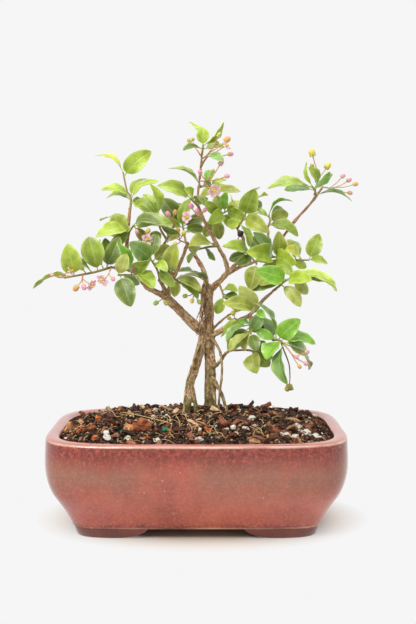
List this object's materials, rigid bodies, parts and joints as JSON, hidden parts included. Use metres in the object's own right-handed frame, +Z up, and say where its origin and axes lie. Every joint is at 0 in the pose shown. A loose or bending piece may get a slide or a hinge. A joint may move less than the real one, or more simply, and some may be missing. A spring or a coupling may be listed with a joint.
{
  "type": "barbados cherry bonsai",
  "caption": "Flowering Barbados cherry bonsai on arching exposed roots, with open leaf sprays and bud clusters, in mounded soil in a glazed oblong pot on corner feet.",
  "frame": {"origin": "middle of the bounding box, on the surface that the pot's feet stand on", "axes": "+Z up along the trunk, the longest extent; +X to the right along the pot's long side; +Y away from the front, the shortest extent"},
  "size_m": [0.236, 0.156, 0.2848],
  "materials": {
    "glaze": "gloss",
    "soil": "matte",
    "mesh_plastic": "matte",
    "bark_chip": "matte",
    "perlite": "matte",
    "bark": "matte",
    "leaf": "satin",
    "flower": "satin",
    "dried": "matte"
  },
  "bodies": {
    "root": {"pot": "glaze", "pot_foot_front_left": "glaze", "pot_foot_front_right": "glaze", "pot_foot_back_left": "glaze", "pot_foot_back_right": "glaze", "drainage_mesh_left": "mesh_plastic", "drainage_mesh_right": "mesh_plastic", "soil": "soil", "bark_chip_large": "bark_chip", "bark_chip_left": "bark_chip", "bark_chip_right": "bark_chip", "bark_chip_back": "bark_chip", "perlite_left": "perlite", "perlite_right": "perlite", "perlite_back": "perlite", "tree_wood": "bark", "flower_cluster_top": "flower", "bud_stalk_top_left": "flower", "flower_cluster_leader": "flower", "flower_cluster_centre": "flower", "flower_cluster_left_high": "flower", "flower_cluster_riser": "flower", "flower_cluster_left_shoulder": "flower", "bloom_left_twig": "flower", "bud_pair_left_tip": "flower", "bud_stalk_left_end": "flower", "flower_cluster_right_tall": "flower", "flower_cluster_right_end": "flower", "flower_cluster_lower_right": "flower", "dried_head_lower_right": "dried", "bud_pair_left_limb": "flower", "flower_cluster_crown": "flower", "dried_pods_right": "dried", "bud_right_limb": "flower", "leaf_spray_left_tip": "leaf", "leaf_spray_left_low": "leaf", "leaf_spray_left_crown": "leaf", "leaf_spray_left_shoulder": "leaf", "leaf_spray_left_inner": "leaf", "leaf_spray_left_high": "leaf", "leaf_spray_crown_left": "leaf", "leaf_spray_crown_front": "leaf", "leaf_spray_middle_back": "leaf", "leaf_spray_leader_low": "leaf", "leaf_spray_leader_middle": "leaf", "leaf_spray_top": "leaf", "leaf_spray_top_low": "leaf", "leaf_spray_middle_front": "leaf", "leaf_spray_centre_high": "leaf", "leaf_spray_centre_low": "leaf", "leaf_spray_right_top": "leaf", "leaf_spray_right_back": "leaf", "leaf_spray_right_middle": "leaf", "leaf_spray_right_inner": "leaf", "leaf_spray_right_tip": "leaf", "leaf_spray_right_under": "leaf", "leaf_spray_right_tall": "leaf", "leaf_spray_lower_right": "leaf", "leaf_spray_lower_middle": "leaf", "leaf_spray_lowest_right": "leaf"}
  },
  "joints": []
}
